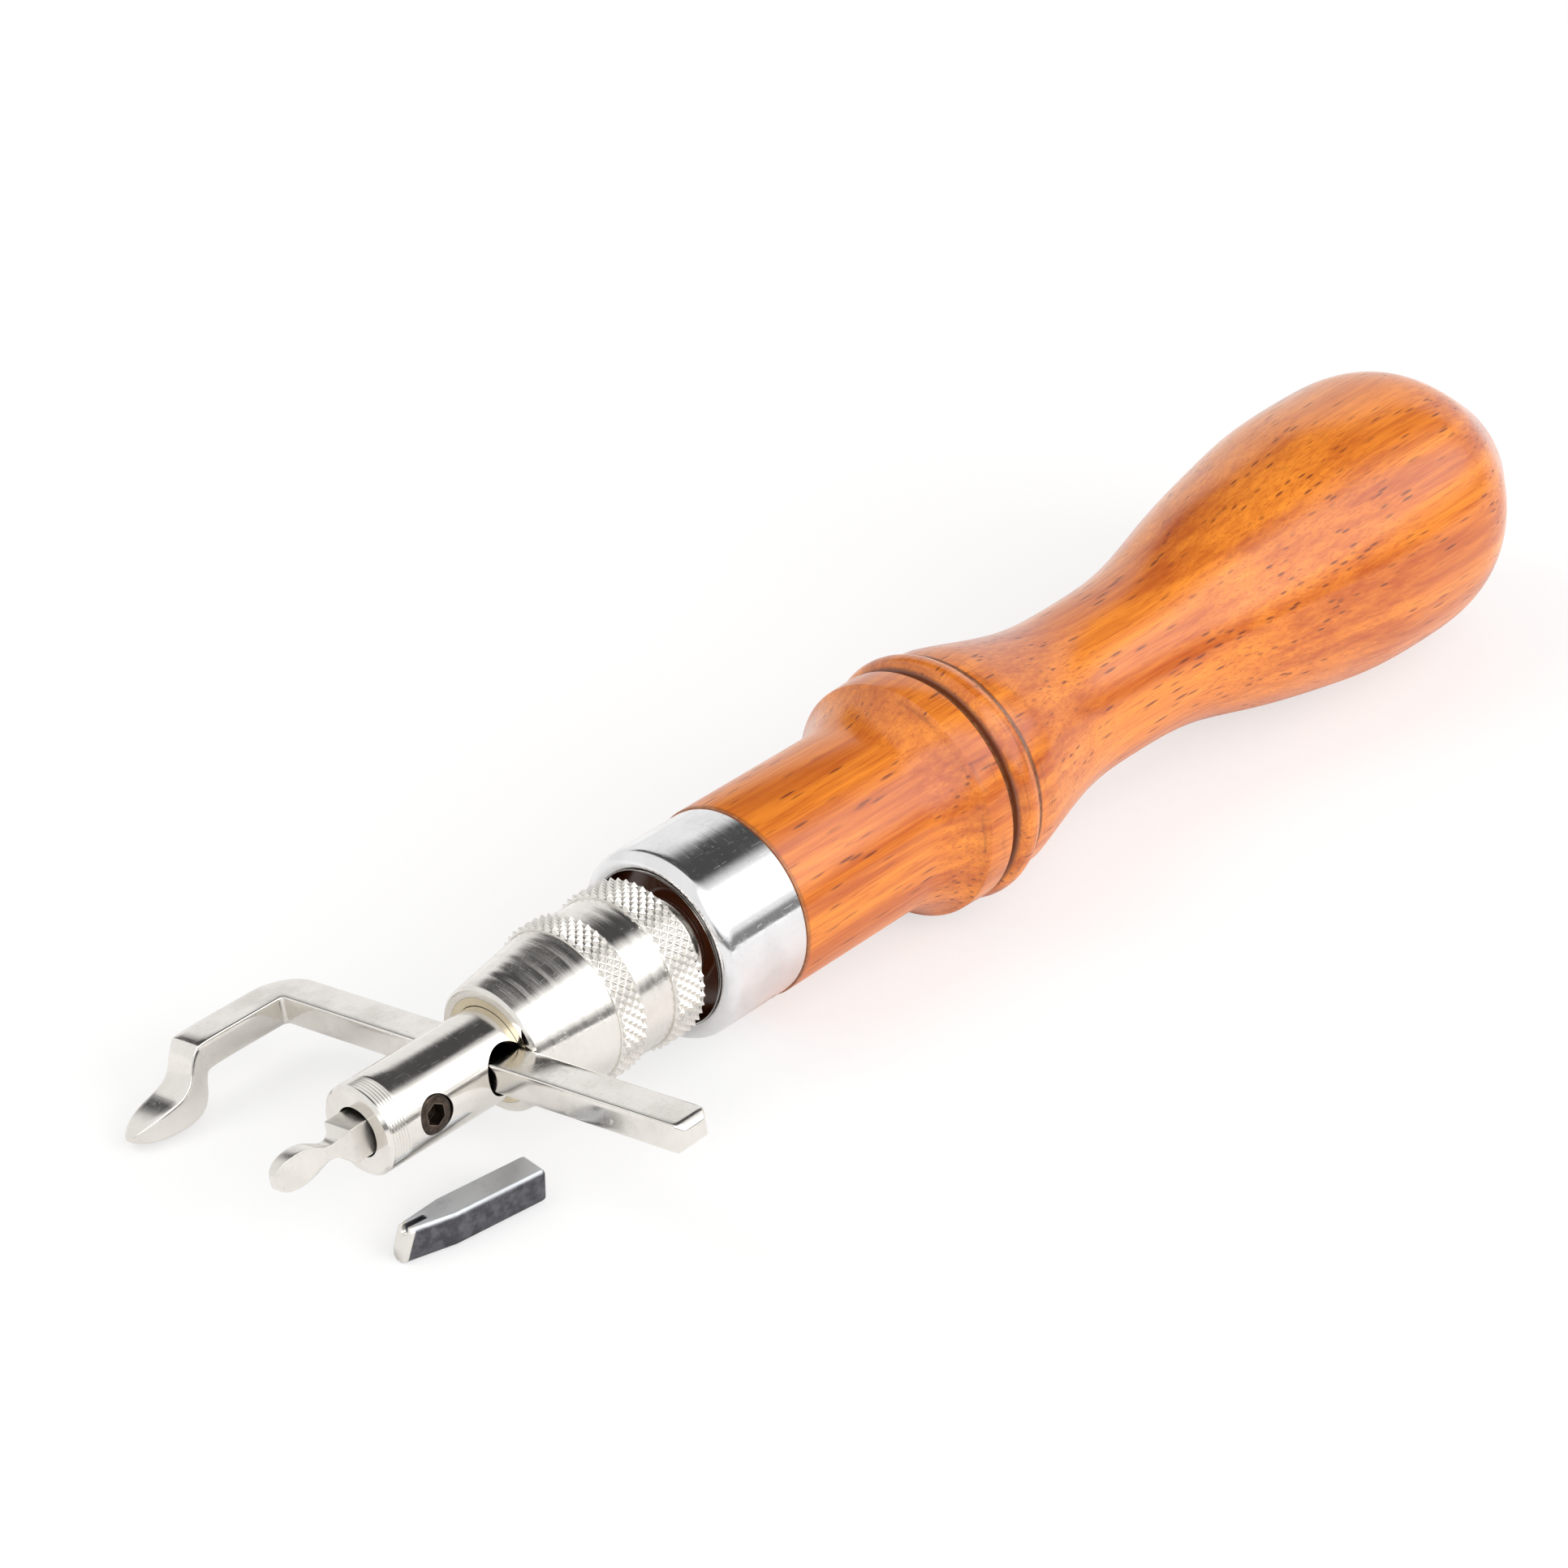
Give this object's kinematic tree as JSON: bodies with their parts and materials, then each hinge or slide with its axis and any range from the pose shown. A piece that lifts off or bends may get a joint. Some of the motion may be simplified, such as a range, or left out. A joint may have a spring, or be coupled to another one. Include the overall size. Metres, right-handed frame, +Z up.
{
  "type": "edge creaser",
  "caption": "Hand tool with a turned wooden handle, a knurled clamping nut, a sliding bent edge guide and a creasing tip held by a grub screw, with a loose spare cutter beside it.",
  "frame": {"origin": "bottom centre of the bounding box of the tool and spare cutter as they lie on a flat surface", "axes": "+X along the tool from the creasing tip towards the handle's end, laid level; +Y towards the guide's foot; +Z up from the surface"},
  "size_m": [0.1878, 0.0582, 0.0324],
  "materials": {
    "wood": "lacquered",
    "ferrule_chrome": "bright chrome",
    "nickel": "bright nickel",
    "black_oxide": "black oxide",
    "tool_steel": "blackened, ground bright at the nose"
  },
  "bodies": {
    "tool": {"handle": "wood", "ferrule": "ferrule_chrome", "spindle": "nickel"},
    "thrust_ring": {"thrust_ring": "nickel"},
    "nut": {"clamping_nut": "nickel"},
    "guide": {"guide": "nickel"},
    "grub_screw": {"grub_screw": "black_oxide"},
    "tip": {"creasing_tip": "nickel"},
    "spare": {"spare_cutter": "tool_steel"}
  },
  "joints": [
    {"name": "nut_travel", "type": "slide", "parent": "tool", "child": "thrust_ring", "axis": [0.9995, 0, 0.0316], "range_m": [0, 0.0015]},
    {"name": "nut_turn", "type": "hinge", "parent": "thrust_ring", "child": "nut", "pos_m": [-0.05325, -0.00015, 0.01222], "axis": [0.9995, 0, 0.0316], "range_deg": [0, 540]},
    {"name": "guide_slide", "type": "slide", "parent": "tool", "child": "guide", "axis": [0.0056, 0.984, -0.1782], "range_m": [-0.017, 0.019]},
    {"name": "grub_screw_travel", "type": "slide", "parent": "tool", "child": "grub_screw", "axis": [-0.0056, -0.984, 0.1782], "range_m": [0, 0.0032]},
    {"name": "tip_slide", "type": "slide", "parent": "tool", "child": "tip", "axis": [-0.9995, 0, -0.0316], "range_m": [0, 0.0106]},
    {"name": "spare_lift", "type": "slide", "parent": "tool", "child": "spare", "axis": [-0.6, -0.5, 0.6245], "range_m": [0, 0.03]}
  ],
  "couplings": [
    {"joint": "nut_turn", "follows": "nut_travel", "rad_per_m": 6283.2}
  ]
}
